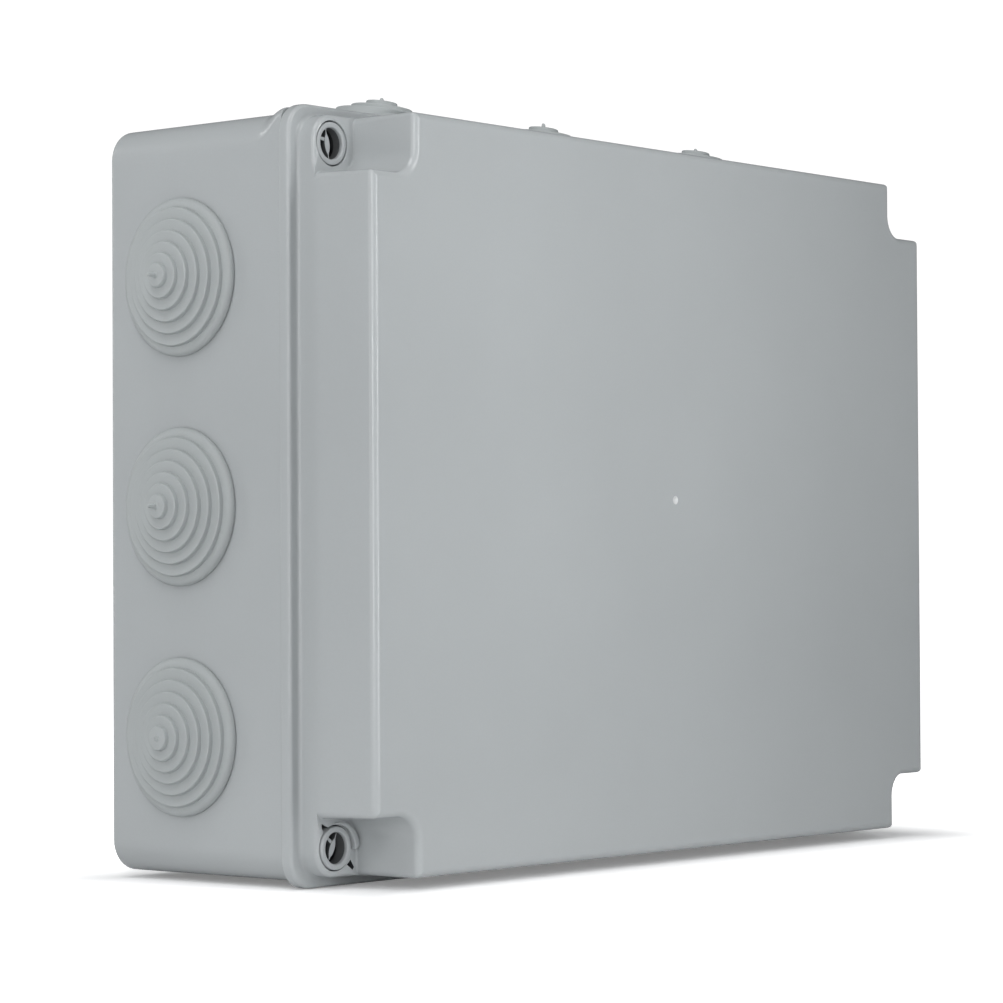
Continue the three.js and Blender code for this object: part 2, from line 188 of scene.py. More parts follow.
GREY = (0.415, 0.437, 0.446)
M_SHELL = plastic("mat_shell", GREY, rough=0.22, grain=0.22, grain_size=0.5, wave=0.10)
M_LID = plastic("mat_lid", (0.418, 0.440, 0.449), rough=0.17, grain=0.20, grain_size=0.5, wave=0.08)
M_SCREW = plastic("mat_lid_screw", (0.40, 0.42, 0.43), rough=0.40, grain=0.25, grain_size=0.4, wave=0.0)
M_MEMBRANE = plastic("mat_membrane", (0.395, 0.420, 0.424), rough=0.50, grain=0.30, grain_size=0.35, wave=0.25,
                     specular=0.4, sss=0.08, flow=False)
# painted shade: a near-black colour that stands in for the shade deep in the lid's screw bores and pits
M_PIT_PAINTED_SHADE = plastic("mat_recess_painted_shade", (0.035, 0.038, 0.040), rough=0.6, grain=0.3, wave=0.0, specular=0.2, flow=False)
# painted shade: a dark colour that stands in for the shade inside the screw heads' recesses
M_RECESS_PAINTED_SHADE = plastic("mat_screw_recess_painted_shade", (0.10, 0.105, 0.108), rough=0.5, grain=0.3, wave=0.0, specular=0.3, flow=False)
# painted highlight: a pale colour that stands in for the glint in the gate dimple
M_GATE_PAINTED_HIGHLIGHT = plastic("mat_gate_painted_highlight", (0.62, 0.635, 0.64), rough=0.30, grain=0.1, wave=0.0, flow=False)
M_CAP = plastic("mat_cap", (0.43, 0.45, 0.456), rough=0.42, grain=0.3, wave=0.0)
M_SEAL = plastic("mat_seal", (0.035, 0.036, 0.039), rough=0.72, grain=0.8, grain_size=0.8, spread=0.15, wave=0.3,
                 specular=0.3, flow=False)
M_TGREY = plastic("mat_terminal_grey", (0.235, 0.245, 0.255), rough=0.44, grain=0.4, wave=0.0)
M_TBLUE = plastic("mat_terminal_blue", (0.022, 0.105, 0.33), rough=0.44, grain=0.4, wave=0.0)
M_BRACKET = plastic("mat_end_bracket", (0.30, 0.315, 0.325), rough=0.46, grain=0.4, wave=0.0)
M_RAIL = metal("mat_rail", (0.66, 0.67, 0.68), 0.34, (0.03, 1, 1), 0.3)
M_STEEL = metal("mat_steel", (0.62, 0.63, 0.64), 0.30, (1, 1, 1), 0.2)


def earth_material():
    """Green polyamide with a yellow band across the middle of the block."""
    m, nt, b = new_material("mat_terminal_earth")
    v = coords(nt)
    sep = nt.nodes.new("ShaderNodeSeparateXYZ")
    nt.links.new(v, sep.inputs[0])
    ab = nt.nodes.new("ShaderNodeMath")
    ab.operation = "ABSOLUTE"
    nt.links.new(sep.outputs["Z"], ab.inputs[0])
    band = maprange(nt, ab.outputs[0], 1.0, 0.0, 0.0058, 0.0062)
    pat = noise(nt, v, 220.0, 3.0, 0.6)
    green = ramp(nt, pat, [(0.3, (0.055, 0.27, 0.035)), (0.7, (0.075, 0.33, 0.045))])
    yellow = ramp(nt, pat, [(0.3, (0.72, 0.52, 0.02)), (0.7, (0.80, 0.60, 0.03))])
    nt.links.new(mix(nt, band, green, yellow), b.inputs["Base Color"])
    nt.links.new(maprange(nt, noise(nt, v, 45.0, 4.0, 0.6), 0.40, 0.50, 0.25, 0.75), b.inputs["Roughness"])
    nt.links.new(bump(nt, noise(nt, v, 2200.0, 2.0, 0.5), 0.35, 0.00005), b.inputs["Normal"])
    return m


M_EARTH = earth_material()

# ------------------------------------------------------------ mesh utilities


def link(obj):
    bpy.context.scene.collection.objects.link(obj)
    return obj


def object_from(name, verts, faces, clean=True):
    me = bpy.data.meshes.new(name)
    me.from_pydata([(x * MM, -y * MM, z * MM) for x, y, z in verts], [], faces)
    me.update()
    bm = bmesh.new()
    bm.from_mesh(me)
    if clean:
        bmesh.ops.remove_doubles(bm, verts=bm.verts, dist=1e-7)
        bmesh.ops.dissolve_degenerate(bm, edges=bm.edges, dist=1e-8)
    bmesh.ops.recalc_face_normals(bm, faces=bm.faces)
    bm.to_mesh(me)
    bm.free()
    return link(bpy.data.objects.new(name, me))


def apply_modifiers(obj):
    bpy.context.view_layer.update()
    dg = bpy.context.evaluated_depsgraph_get()
    me = bpy.data.meshes.new_from_object(obj.evaluated_get(dg))
    old = obj.data
    obj.modifiers.clear()
    obj.data = me
    me.name = obj.name
    if old.users == 0:
        bpy.data.meshes.remove(old)
    return obj


def boolean(obj, cutter, operation="DIFFERENCE"):
    m = obj.modifiers.new("cut", "BOOLEAN")
    m.operation = operation
    m.solver = "EXACT"
    m.object = cutter
    apply_modifiers(obj)
    me = cutter.data
    bpy.data.objects.remove(cutter)
    bpy.data.meshes.remove(me)
    return obj


def tidy(obj, dist=2e-6):
    bm = bmesh.new()
    bm.from_mesh(obj.data)
    bmesh.ops.remove_doubles(bm, verts=bm.verts, dist=dist)
    bmesh.ops.dissolve_degenerate(bm, edges=bm.edges, dist=dist)
    bmesh.ops.recalc_face_normals(bm, faces=bm.faces)
    bm.to_mesh(obj.data)
    bm.free()
    return obj


def finish_mesh(obj, material, angle=31.0, weighted=True):
    """Smooth by angle, weight the normals by face area and give the material."""
    me = obj.data
    bm = bmesh.new()
    bm.from_mesh(me)
    for f in bm.faces:
        f.smooth = True
        f.material_index = 0
    lim = math.radians(angle)
    for e in bm.edges:
        e.smooth = not (len(e.link_faces) != 2 or e.calc_face_angle(0.0) > lim)
    bm.to_mesh(me)
    bm.free()
    me.materials.clear()
    me.materials.append(material)
    if weighted:
        w = obj.modifiers.new("weighted", "WEIGHTED_NORMAL")
        w.keep_sharp = True
        w.mode = "FACE_AREA_WITH_ANGLE"
        w.weight = 60
        apply_modifiers(obj)
        obj.data.materials.clear()
        obj.data.materials.append(material)
    return obj


def place(obj, body, nodes):
    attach(obj, body)
    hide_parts(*nodes)
    return obj


# outlines: y is the distance from the wall plane, so CAD Y is -y
KL, KS, KC = 7, 2, 11


def lerp(a, b, t):
    return (a[0] + (b[0] - a[0]) * t, a[1] + (b[1] - a[1]) * t)


def arc(cx, cz, r, a0, a1, n):
    return [(cx + r * math.cos(a0 + (a1 - a0) * i / (n - 1)), cz + r * math.sin(a0 + (a1 - a0) * i / (n - 1)))
            for i in range(n)]


def corner_notch(hx, hz, nx, nz, q, p):
    p = max(p, 0.02)
    pts = arc(hx - p, hz - nz - p, p, 0, PI / 2, KL)
    a, b = (hx - p, hz - nz), (hx - nx + q, hz - nz)
    pts += [lerp(a, b, (i + 1) / (KS + 1)) for i in range(KS)]
    pts += arc(hx - nx + q, hz - nz + q, q, -PI / 2, -PI, KC)
    a, b = (hx - nx, hz - nz + q), (hx - nx, hz - p)
    pts += [lerp(a, b, (i + 1) / (KS + 1)) for i in range(KS)]
    pts += arc(hx - nx - p, hz - p, p, 0, PI / 2, KL)
    return pts


def corner_round(hx, hz, r, run_x, run_z, e=0.0):
    """Same number of points as corner_notch; the runs are how far before the corner
    the group starts and ends. e insets the corner, fading to nothing at both ends."""
    m = KL + KS
    a, b = (hx, hz - run_z), (hx, hz - r)
    pts, nrm = [], []
    for i in range(m):
        pts.append(lerp(a, b, i / m))
        nrm.append((1.0, 0.0))
    for i in range(KC):
        t = PI / 2 * i / (KC - 1)
        pts.append((hx - r + r * math.cos(t), hz - r + r * math.sin(t)))
        nrm.append((math.cos(t), math.sin(t)))
    a, b = (hx - r, hz), (hx - run_x, hz)
    for i in range(m):
        pts.append(lerp(a, b, (i + 1) / m))
        nrm.append((0.0, 1.0))
    if e:
        total = len(pts)
        out = []
        for i, (p, nn) in enumerate(zip(pts, nrm)):
            w = EDGE_FADE[min(i, total - 1 - i, len(EDGE_FADE) - 1)]
            out.append((p[0] - nn[0] * e * w, p[1] - nn[1] * e * w))
        pts = out
    return pts


EDGE_FADE = (0.0, 0.02, 0.10, 0.30, 0.75, 1.0)


def full(top, bottom=None):
    """One corner group, mirrored to all four corners, counter-clockwise."""
    g, h = top, bottom or top
    return (list(g) + [(-u, v) for u, v in reversed(g)] + [(-u, -v) for u, v in h]
            + [(u, -v) for u, v in reversed(h)])


def ring(group, y, bottom=None):
    return [(u, y, v) for u, v in full(group, bottom)]


def rring(hx, hz, r, y, run=None, e=0.0):
    run_x, run_z = run or (NX + NP, NZ + NP)
    return ring(corner_round(hx, hz, r, run_x, run_z, e), y)


def nring(hx, hz, nx, nz, q, p, y):
    return ring(corner_notch(hx, hz, nx, nz, q, p), y)


def loft(name, rings):
    n = len(rings[0])
    verts = [v for r in rings for v in r]
    faces = []
    for i in range(len(rings) - 1):
        for j in range(n):
            k = (j + 1) % n
            faces.append((i * n + j, i * n + k, (i + 1) * n + k, (i + 1) * n + j))
    faces.append(tuple(reversed(range(n))))
    faces.append(tuple(range((len(rings) - 1) * n, len(rings) * n)))
    return object_from(name, verts, faces)


def rounded(points, radius, seg=4):
    """Rounds the inner vertices of a polyline; radius is one number or one per vertex."""
    out = [points[0]]
    for i in range(1, len(points) - 1):
        r = radius[i] if isinstance(radius, (list, tuple)) else radius
        p, a, b = Vector(points[i]), Vector(points[i - 1]), Vector(points[i + 1])
        da, db = (a - p), (b - p)
        la, lb = da.length, db.length
        if r <= 0 or la < 1e-9 or lb < 1e-9:
            out.append(points[i])
            continue
        da, db = da / la, db / lb
        c = max(-1.0, min(1.0, da.dot(db)))
        half = math.acos(c) / 2
        if half > math.radians(86) or half < math.radians(4):
            out.append(points[i])
            continue
        t = min(r / math.tan(half), la * 0.48, lb * 0.48)
        rr = t * math.tan(half)
        centre = p + (da + db).normalized() * (rr / math.sin(half))
        s, e = p + da * t, p + db * t
        vs, ve = s - centre, e - centre
        a0 = math.atan2(vs.y, vs.x)
        sweep = math.atan2(vs.x * ve.y - vs.y * ve.x, vs.dot(ve))
        for k in range(seg + 1):
            ang = a0 + sweep * k / seg
            out.append((centre.x + rr * math.cos(ang), centre.y + rr * math.sin(ang)))
    out.append(points[-1])
    return out


def lathe(name, profile, centre, axis, seg=96, closed=False):
    """profile of (radius, height); height runs along axis ('x-','x+','z+','y') from centre, mm."""
    rings, verts, faces, index = [], [], [], []
    for r, h in profile:
        if r < 1e-6:
            index.append([len(verts)])
            verts.append((0.0, h, 0.0))
        else:
            index.append(list(range(len(verts), len(verts) + seg)))
            for j in range(seg):
                a = 2 * PI * j / seg
                verts.append((r * math.cos(a), h, r * math.sin(a)))
    pairs = list(zip(index[:-1], index[1:]))
    if closed:
        pairs.append((index[-1], index[0]))
    for a, b in pairs:
        for j in range(seg):
            k = (j + 1) % seg
            if len(a) == 1 and len(b) == 1:
                continue
            if len(a) == 1:
                faces.append((a[0], b[k], b[j]))
            elif len(b) == 1:
                faces.append((a[j], a[k], b[0]))
            else:
                faces.append((a[j], a[k], b[k], b[j]))
    cx, cy, cz = centre
    out = []
    for u, h, w in verts:
        if axis == "y":      # height is the distance from the wall
            out.append((cx + u, cy + h, cz + w))
        elif axis == "x-":
            out.append((cx - h, cy + u, cz + w))
        elif axis == "x+":
            out.append((cx + h, cy + u, cz + w))
        else:
            out.append((cx + u, cy + w, cz + h))
    return object_from(name, out, faces)


def prism_y(name, outline, y0, y1):
    """outline of (x, z) in mm, from y0 to y1 (distance from the wall)."""
    n = len(outline)
    verts = [(x, y0, z) for x, z in outline] + [(x, y1, z) for x, z in outline]
    faces = [tuple(range(n)), tuple(range(n, 2 * n))]
    for j in range(n):
        k = (j + 1) % n
        faces.append((j, k, n + k, n + j))
    return object_from(name, verts, faces)


CORNERS = [("tl", -1, 1), ("tr", 1, 1), ("bl", -1, -1), ("br", 1, -1)]

# ------------------------------------------------------------------ lid shell
LX, LZ = 151.0, 116.5
RX, RZ = 155.0, 120.0
NX, NZ, NQ, NP = 19.5, 19.1, 7.6, 1.3          # pocket at the face
NXF, NZF = 17.9, 18.3                          # and at its floor
FLOOR, FRONT = 86.3, 110.0
SX, SZ = 143.0, 107.5


def build_lid():
    rings = []
    # cavity, from its ceiling back to the locating rib
    e0 = 1.3
    for i in range(5):
        a = PI / 2 * i / 4
        e = e0 * (1 - math.sin(a))
        rings.append(nring(LX - 3 - e, LZ - 3 - e, NX, NZ, NQ + e, NP - e, 107.0 - e0 * (1 - math.cos(a))))
    rings.append(nring(LX - 3, LZ - 3, NX, NZ, NQ, NP, 92.0))
    rings.append(nring(LX - 3, LZ - 3, NX, NZ, NQ, NP, 74.4))
    rings.append(nring(LX - 2.7, LZ - 2.7, NX, NZ, NQ - 0.3, NP, 74.0))
    # locating rib and the groove behind it
    rings.append(rring(149.5, 114.5, 6.3, 74.0))
    rings.append(rring(149.9, 114.9, 6.7, 74.4))
    rings.append(rring(149.9, 114.9, 6.7, 77.3))
    rings.append(rring(153.5, 118.5, 10.3, 77.3))
    rings.append(rring(153.5, 118.5, 10.3, 75.3))
    rings.append(rring(153.6, 118.6, 10.3, 75.08))
    rings.append(rring(153.8, 118.8, 10.2, 75.0))
    # flange: rounded back edge, flat edge, rounded front edge, ledge, small fillet
    back_r = 0.62
    rows = []
    for i in range(7):
        a = PI / 2 * i / 6
        rows.append((RX - back_r * (1 - math.sin(a)), 75.0 + back_r * (1 - math.cos(a)), 9.2 - back_r * (1 - math.sin(a))))
    front_r = 1.25
    for i in range(9):
        a = PI / 2 * i / 8
        rows.append((RX - front_r * (1 - math.cos(a)), 79.2 - front_r * (1 - math.sin(a)), 9.2 - front_r * (1 - math.cos(a))))
    foot_r = 1.3
    for i in range(8):
        a = PI / 2 * i / 7
        rows.append((LX + foot_r * (1 - math.sin(a)), 79.2 + foot_r * (1 - math.cos(a)), 8.4 + foot_r * (1 - math.sin(a)) * 0.6))
    for x, y, r in rows:
        k = (x - LX) / (RX - LX)
        rings.append(rring(x, LZ + (RZ - LZ) * k, r, y))
    # lower wall of the pocket zone, then its rounded outer edge
    RF = 1.75
    rings.append(rring(LX, LZ, 8.4, FLOOR - RF))
    for i in range(1, 9):
        a = PI / 2 * i / 8
        rings.append(rring(LX, LZ, 8.4, FLOOR - RF + RF * math.sin(a), e=RF * (1 - math.cos(a))))
    # pocket floor, its small concave fillet, the drafted pocket walls
    CF = 0.75
    for i in range(0, 6):
        a = PI / 2 * i / 5
        d = CF * (1 - math.sin(a))
        rings.append(nring(LX, LZ, NXF - d, NZF - d, NQ - d, NP + 1.2 + d, FLOOR + CF * (1 - math.cos(a))))
    FE = 2.4
    rings.append(nring(LX, LZ, NX, NZ, NQ, NP, FRONT - FE))
    for i in range(1, 11):
        a = PI / 2 * i / 10
        e = FE * (1 - math.cos(a))
        rings.append(nring(LX - e, LZ - e, NX, NZ, NQ + e, NP - e, FRONT - FE + FE * math.sin(a)))
    lid = loft("lid_shell_visual", rings)
    # raised stop beside the two lower screws
    for sx in (-1, 1):
        cx, cz = sx * SX, -SZ
        rows = []
        steps = 26
        for i in range(steps + 1):
            t = i / steps
            a = math.radians(-5 + 97 * t)
            k = math.cos(PI / 2 * t) ** 0.9 if t < 1 else 0.0
            w = 0.18 + 2.1 * k * min(1.0, 0.45 + 0.55 * math.sqrt(t / 0.08))
            ri, ro = 7.35, 7.35 + w
            c = min(0.45, 0.3 * w)
            top = FLOOR + 0.4 + 1.4 * k
            prof = [(ri, FLOOR - 0.6), (ri, top - c * 0.6), (ri + c * 0.6, top), (ro - c, top), (ro - 0.3 * c, top - 0.3 * c),
                    (ro, top - c), (ro, FLOOR - 0.6)]
            rows.append([(cx + (1 if sx < 0 else -1) * r * math.cos(a), y, cz + r * math.sin(a)) for r, y in prof])
        n = len(rows[0])
        verts = [v for r in rows for v in r]
        faces = []
        for i in range(steps):
            for j in range(n):
                k = (j + 1) % n
                faces.append((i * n + j, i * n + k, (i + 1) * n + k, (i + 1) * n + j))
        faces.append(tuple(range(n)))
        faces.append(tuple(range(steps * n, steps * n + n)))
        boolean(lid, object_from("stop", verts, faces), "UNION")
    for tag, sx, sz in CORNERS:
        prof = [(0, 70), (3.75, 70), (3.75, 73.6), (3.75, 75.6), (5.4, 77.0), (5.4, 82.0), (7.0, 82.0), (7.0, FLOOR - 0.25),
                (7.15, FLOOR + 0.02), (7.15, 91.0), (0, 91.0)]
        boolean(lid, lathe("bore", prof, (sx * SX, 0, sz * SZ), "y", 64))
    # small three-sided pits beside the lower screws
    for sx in (-1, 1):
        k = 1 if sx < 0 else -1
        cx, cz = sx * SX, -SZ
        for slot in ([(-6.0, 7.7), (-4.6, 7.0), (-2.6, 6.3), (-4.6, 4.3), (-5.9, 6.3)],
                     [(7.0, -3.9), (8.6, -6.3), (7.9, -7.1), (5.4, -5.4)]):
            boolean(lid, prism_y("pit", [(cx + k * a, cz + b) for a, b in slot], 76.0, 91.0))
    # gate mark in the middle of the face
    boolean(lid, lathe("gate", [(0, 109.55), (0.5, 109.6), (0.9, 109.72), (1.2, 109.86), (1.4, 110.0), (1.42, 110.3), (0, 110.3)],
                       (0, 0, 0), "y", 40))
    tidy(lid)
    finish_mesh(lid, M_LID)
    lid.data.materials.append(M_PIT_PAINTED_SHADE)
    lid.data.materials.append(M_GATE_PAINTED_HIGHLIGHT)
    for p in lid.data.polygons:
        x, y, z = p.center.x * 1000, -p.center.y * 1000, p.center.z * 1000
        # painted highlight: faces of the gate dimple take the pale colour for their glint
        if x * x + z * z < 1.38 ** 2 and y > 109.4:
            p.material_index = 2
            continue
        # painted shade: faces deep in the screw bores and in the pits take the near-black colour for their shade
        d = math.hypot(abs(x) - SX, abs(z) - SZ)
        u, w = SX - abs(x), z + SZ               # from the screw axis: inward, upward
        pit = (-6.2 < u < -2.4 and 4.1 < w < 7.9) or (5.2 < u < 8.8 and -7.3 < w < -3.7)
        if (d < 6.9 and 74.2 < y < 84.5) or (pit and 75.9 < y < 85.6):
            p.material_index = 1
    place(lid, "lid", ["lid_shell"])
    return lid


# ----------------------------------------------------------------- base shell
G_Y = 31.5
G_SIDE_Z = [69.1, -2.8, -74.7]
G_TOP_X = [-88, 0, 88]
G_TOP_Y = 55.6


def build_base():
    rings = []
    BF = 1.5
    run = (20.0, 20.0)
    hx = 153.2

    def hz(y):
        return 118.05 + 0.15 * min(1.0, y / 75.8)

    for i in range(7):
        a = PI / 2 * i / 6
        e = BF * (1 - math.sin(a))
        y = BF * (1 - math.cos(a))
        rings.append(rring(hx - e, hz(y) - e, 10.0 - e, y, run=run))
    rings.append(rring(hx, hz(40), 10.0, 40, run=run))
    rings.append(rring(hx, hz(64), 10.0, 64, run=run))
    # towards the flange the two upper corners grow squarer and a little taller
    for i in range(1, 12):
        t = i / 11
        k = t * t * (3 - 2 * t)
        y = 64 + 10.7 * t
        up = corner_round(hx, hz(y) + 0.75 * k, 10.0 - 6.6 * k, 20.0, 20.0 + 0.75 * k)
        lo = corner_round(hx, hz(y), 10.0, 20.0, 20.0)
        rings.append(ring(up, y, lo))
    rings.append(rring(hx, 118.2, 10.0, 74.85, run=run))
    rings.append(rring(hx, 118.2, 10.0, 75.3, run=run))
    rings.append(rring(hx - 0.15, 118.05, 9.85, 75.68, run=run))
    rings.append(rring(hx - 0.5, 117.7, 9.5, 75.8, run=run))
    rings.append(rring(150.6, 115.6, 7.4, 75.8, run=run))
    rings.append(rring(150.2, 115.2, 7.0, 75.4, run=run))
    rings.append(rring(150.2, 115.2, 7.0, 73.6, run=run))
    n, q, p = 18.0, 4.0, 2.0
    rings.append(nring(150.2, 115.2, n - 0.4, n - 0.4, q, p + 0.4, 73.6))
    rings.append(nring(150.2, 115.2, n, n, q, p, 73.2))
    rings.append(nring(150.0, 115.0, n, n, q, p, 40))
    IF = 1.8
    rings.append(nring(149.9, 114.9, n, n, q, p, 3.5 + IF))
    for i in range(1, 6):
        a = PI / 2 * i / 5
        e = IF * (1 - math.cos(a))
        rings.append(nring(149.9 - e, 114.9 - e, n, n, q + e, max(0.2, p - e), 3.5 + IF - IF * math.sin(a)))
    base = loft("base_shell_visual", rings)
    for tag, sx, sz in CORNERS:
        boss = rounded([(0, 2.6), (8.6, 2.6), (8.6, 3.4), (7.0, 3.9), (7.0, 7.5), (5.6, 7.5), (0, 7.5)], 0.5, 3)
        boolean(base, lathe("boss", boss, (sx * 118, 0, sz * 84), "y", 48), "UNION")
        cut = [(0, -1), (3.3, -1), (2.75, 0.5), (2.75, 5.2), (4.9, 5.2), (4.9, 9), (0, 9)]
        boolean(base, lathe("fix", cut, (sx * 118, 0, sz * 84), "y", 40))
        cut = [(0, 54), (5.3, 54), (5.3, 73.0), (5.8, 73.7), (5.8, 75), (0, 75)]
        boolean(base, lathe("post_bore", cut, (sx * SX, 0, sz * SZ), "y", 48))
    for sx in (-1, 1):
        boss = rounded([(0, 2.6), (7.6, 2.6), (7.6, 3.4), (6.0, 3.9), (6.0, 9.0), (0, 9.0)], 0.5, 3)
        boolean(base, lathe("rail_boss", boss, (sx * 100, 0, 0), "y", 40), "UNION")
        boolean(base, lathe("pilot", [(0, 3.2), (2.0, 3.2), (2.0, 8.6), (2.4, 9.2), (2.4, 12), (0, 12)], (sx * 100, 0, 0), "y", 32))
    for z in G_SIDE_Z:
        boolean(base, lathe("side_hole", [(0, -12), (21.0, -12), (21.0, 12), (0, 12)], (-152, G_Y, z), "x-", 96))
        boolean(base, lathe("side_hole", [(0, -12), (21.0, -12), (21.0, 12), (0, 12)], (152, G_Y, z), "x+", 96))
    for x in G_TOP_X:
        boolean(base, lathe("top_hole", [(0, -9), (15.0, -9), (15.0, 9), (0, 9)], (x, G_TOP_Y, 117), "z+", 80))
    # witness marks of the ejector pins on the back
    for x in (-128, -64, 0, 64, 128):
        for z in (-100, 100):
            if abs(x) < 120 or True:
                boolean(base, lathe("pin", [(0, -0.3), (4.0, -0.3), (3.9, 0.22), (0, 0.22)], (x * 0.98, 0, z * 0.98), "y", 36))
    tidy(base)
    finish_mesh(base, M_SHELL)
    place(base, "base", ["base_shell"])
    return base


# ------------------------------------------------------------------ membranes
def membrane_profile(hole, flange_r, flange_h, steps, nib):
    T = 1.3
    neck = hole - 0.3
    top_r, top = steps[-1]
    inner = [(0, top - T)]
    for (r, h), nxt in reversed(list(zip(steps, steps[1:] + [None]))):
        inner.append((max(r - T, 0.8), h - T))
        inner.append((max(r - T, 0.8), h - T - 0.9))
    # drop doubled levels so the inside follows the outside as a stepped funnel
    pts = [(0, top - T)]
    prev = top - T
    for r, h in reversed(steps):
        lvl = h - T
        rr = max(r - 0.2, 0.8)
        if lvl < prev:
            pts.append((pts[-1][0], lvl))
        if rr < neck - 1.8:
            pts.append((rr, lvl))
        prev = lvl
    pts.append((neck - 1.8, max(prev - 0.6, 0.6)))
    pts += [(neck - 1.8, -5.0), (neck - 0.1, -5.0), (neck + 1.6, -3.5), (neck + 1.6, -3.3), (neck, -3.3), (neck, 0.3)]
    n_in = len(pts)
    f0 = steps[0][0] + 0.35                   # wide rounding of the flange edge
    pts += [(flange_r, 0.3), (flange_r, 0.75)]
    for i in range(1, 7):
        a = PI / 2 * i / 6
        pts.append((f0 + (flange_r - f0) * math.cos(a), 0.75 + (flange_h - 0.75) * math.sin(a)))
    level = flange_h
    n_step = len(pts)
    for r, h in steps:
        pts.append((r + 0.1, level - 0.12))
        pts.append((r - 0.1, h))
        level = h
    rad = [0.25] * len(pts)
    for i in range(n_in, n_step):
        rad[i] = 0.0
    for i in range(n_step, len(pts)):
        rad[i] = 0.12 if (i - n_step) % 2 == 0 else 0.42
    rad[n_in] = 0.2
    if nib:
        nr, nh, flare = nib
        pts += [(nr + flare, level), (nr, level + flare), (nr * 0.8, nh - nr * 0.6), (nr * 0.45, nh), (0, nh)]
        rad += [0.3, 0.3, 0.3, 0.25, 0]
    else:
        pts += [(0, level)]
        rad += [0]
    return rounded(pts, rad, 4)


SIDE_STEPS = [(21.7, 4.15), (18.0, 5.6), (14.4, 7.05), (10.8, 8.5), (7.2, 9.95), (3.8, 11.4)]
TOP_STEPS = [(15.0, 6.85), (10.0, 8.65), (5.1, 10.45)]


def build_membranes():
    for i, z in enumerate(G_SIDE_Z):
        nib = (0.7, 14.9, 0.4) if i < 2 else (0.9, 11.95, 0.3)
        prof = membrane_profile(21.0, 24.8, 2.7, SIDE_STEPS, nib)
        for side, x, ax in (("left", -153.2, "x-"), ("right", 153.2, "x+")):
            o = lathe(f"cable_membrane_{side}_{i + 1}_visual", prof, (x, G_Y, z), ax, 112)
            for v in o.data.vertices:            # fitted flanges are drawn in a little along the depth
                w = min(1.0, max(0.0, (abs(v.co.x) - 0.1528) / 0.0006))
                v.co.y += (v.co.y + G_Y / 1000) * -0.055 * w
            finish_mesh(o, M_MEMBRANE, 50)
            place(o, "base", [f"cable_membrane_{side}_{i + 1}"])
    # soft cones never stand quite straight: a slight lean and tilt of the raised part
    lean = ((1.95, 11.75), (-0.75, 12.2), (-0.6, 11.65))
    for i, x in enumerate(G_TOP_X):
        shift, tip = lean[i]
        prof = membrane_profile(15.0, 18.4, 4.9, TOP_STEPS, (0.75, tip, 0.3))
        o = lathe(f"cable_membrane_top_{i + 1}_visual", prof, (x, G_TOP_Y, 118.2), "z+", 96)
        ax, ay = x / 1000, -G_TOP_Y / 1000
        for v in o.data.vertices:
            h = (v.co.z - 0.1182) * 1000
            w = min(1.0, max(0.0, (h - 4.9) / 1.5))
            w = w * w * (3 - 2 * w)
            along = 0.635 * (v.co.x - ax) - 0.773 * (v.co.y - ay)
            v.co.z -= 0.12 * along * w
            v.co.x += 0.635 * shift / 1000 * w
            v.co.y -= 0.773 * shift / 1000 * w
        finish_mesh(o, M_MEMBRANE, 50)
        place(o, "base", [f"cable_membrane_top_{i + 1}"])


# ----------------------------------------------------------------- lid screws
def build_lid_screws():
    turn = {"tl": 8, "tr": -8, "bl": -24, "br": 9}
    tops = {"tl": 86.2, "tr": 86.2, "bl": 87.05, "br": 86.2}      # the lower left one is not fully home
    for tag, sx, sz in CORNERS:
        cx, cz = sx * SX, sz * SZ
        top = tops[tag]
        # head: flat ring with softened edges round a deep open recess
        ringp = [(4.85, 82.4), (6.65, 82.4), (6.65, top - 0.45), (6.6, top - 0.25), (6.48, top - 0.08), (6.25, top), (5.35, top - 0.02),
                 (5.1, top - 0.1), (4.93, top - 0.28), (4.87, top - 0.6), (4.85, top - 1.2)]
        head = lathe(f"lid_screw_{tag}_visual", ringp, (cx, 0, cz), "y", 80, closed=True)
        c, s = math.cos(math.radians(turn[tag])), math.sin(math.radians(turn[tag]))

        def turned(pts):
            return [(cx + c * a - s * b, cz + s * a + c * b) for a, b in pts]

        # driver bar: slim blade across the recess with a leaf-shaped island in the middle
        pts = []
        for i in range(21):
            t = -1 + 2 * i / 20
            pts.append((0.16 + 0.95 * max(0.0, 1 - (t / 0.62) ** 2) ** 0.8, 4.95 * t))
        pts = [(a + 0.2, b) for a, b in pts] + [(-a + 0.2, b) for a, b in reversed(pts)]
        boolean(head, prism_y("bar", turned(pts), 79.5, top - 2.1), "UNION")
        boolean(head, prism_y("arm", turned([(-4.75, 3.1), (-4.95, 2.2), (-1.0, 1.0), (-0.6, 2.0)]), 80.5, top - 2.2), "UNION")
        shank = rounded([(0, 60.0), (2.7, 60.0), (3.4, 60.7), (3.4, 73.0), (1.9, 75.0), (1.9, 80.2), (0, 80.2)], 0.3, 3)
        boolean(head, lathe("shank", shank, (cx, 0, cz), "y", 48), "UNION")
        lug = [(-1.5, -4.85), (1.5, -4.85), (1.5, 4.85), (-1.5, 4.85)]
        boolean(head, prism_y("lug", [(cx + a, cz + b) for a, b in lug], 61.5, 64.5), "UNION")
        tidy(head)
        finish_mesh(head, M_SCREW, 40)
        head.data.materials.append(M_RECESS_PAINTED_SHADE)
        # painted shade: the recess walls and floor of each head take the dark colour for their shade; the bar's top
        # keeps the screw colour
        for p in head.data.polygons:
            d = math.hypot(p.center.x * 1000 - cx, p.center.z * 1000 - cz)
            y = -p.center.y * 1000
            if d < 4.95 and 74.0 < y < top - 1.25 and not (p.normal.y < -0.9 and y > top - 2.5):
                p.material_index = 1
        place(head, "lid_screw_" + tag, ["lid_screw_" + tag])


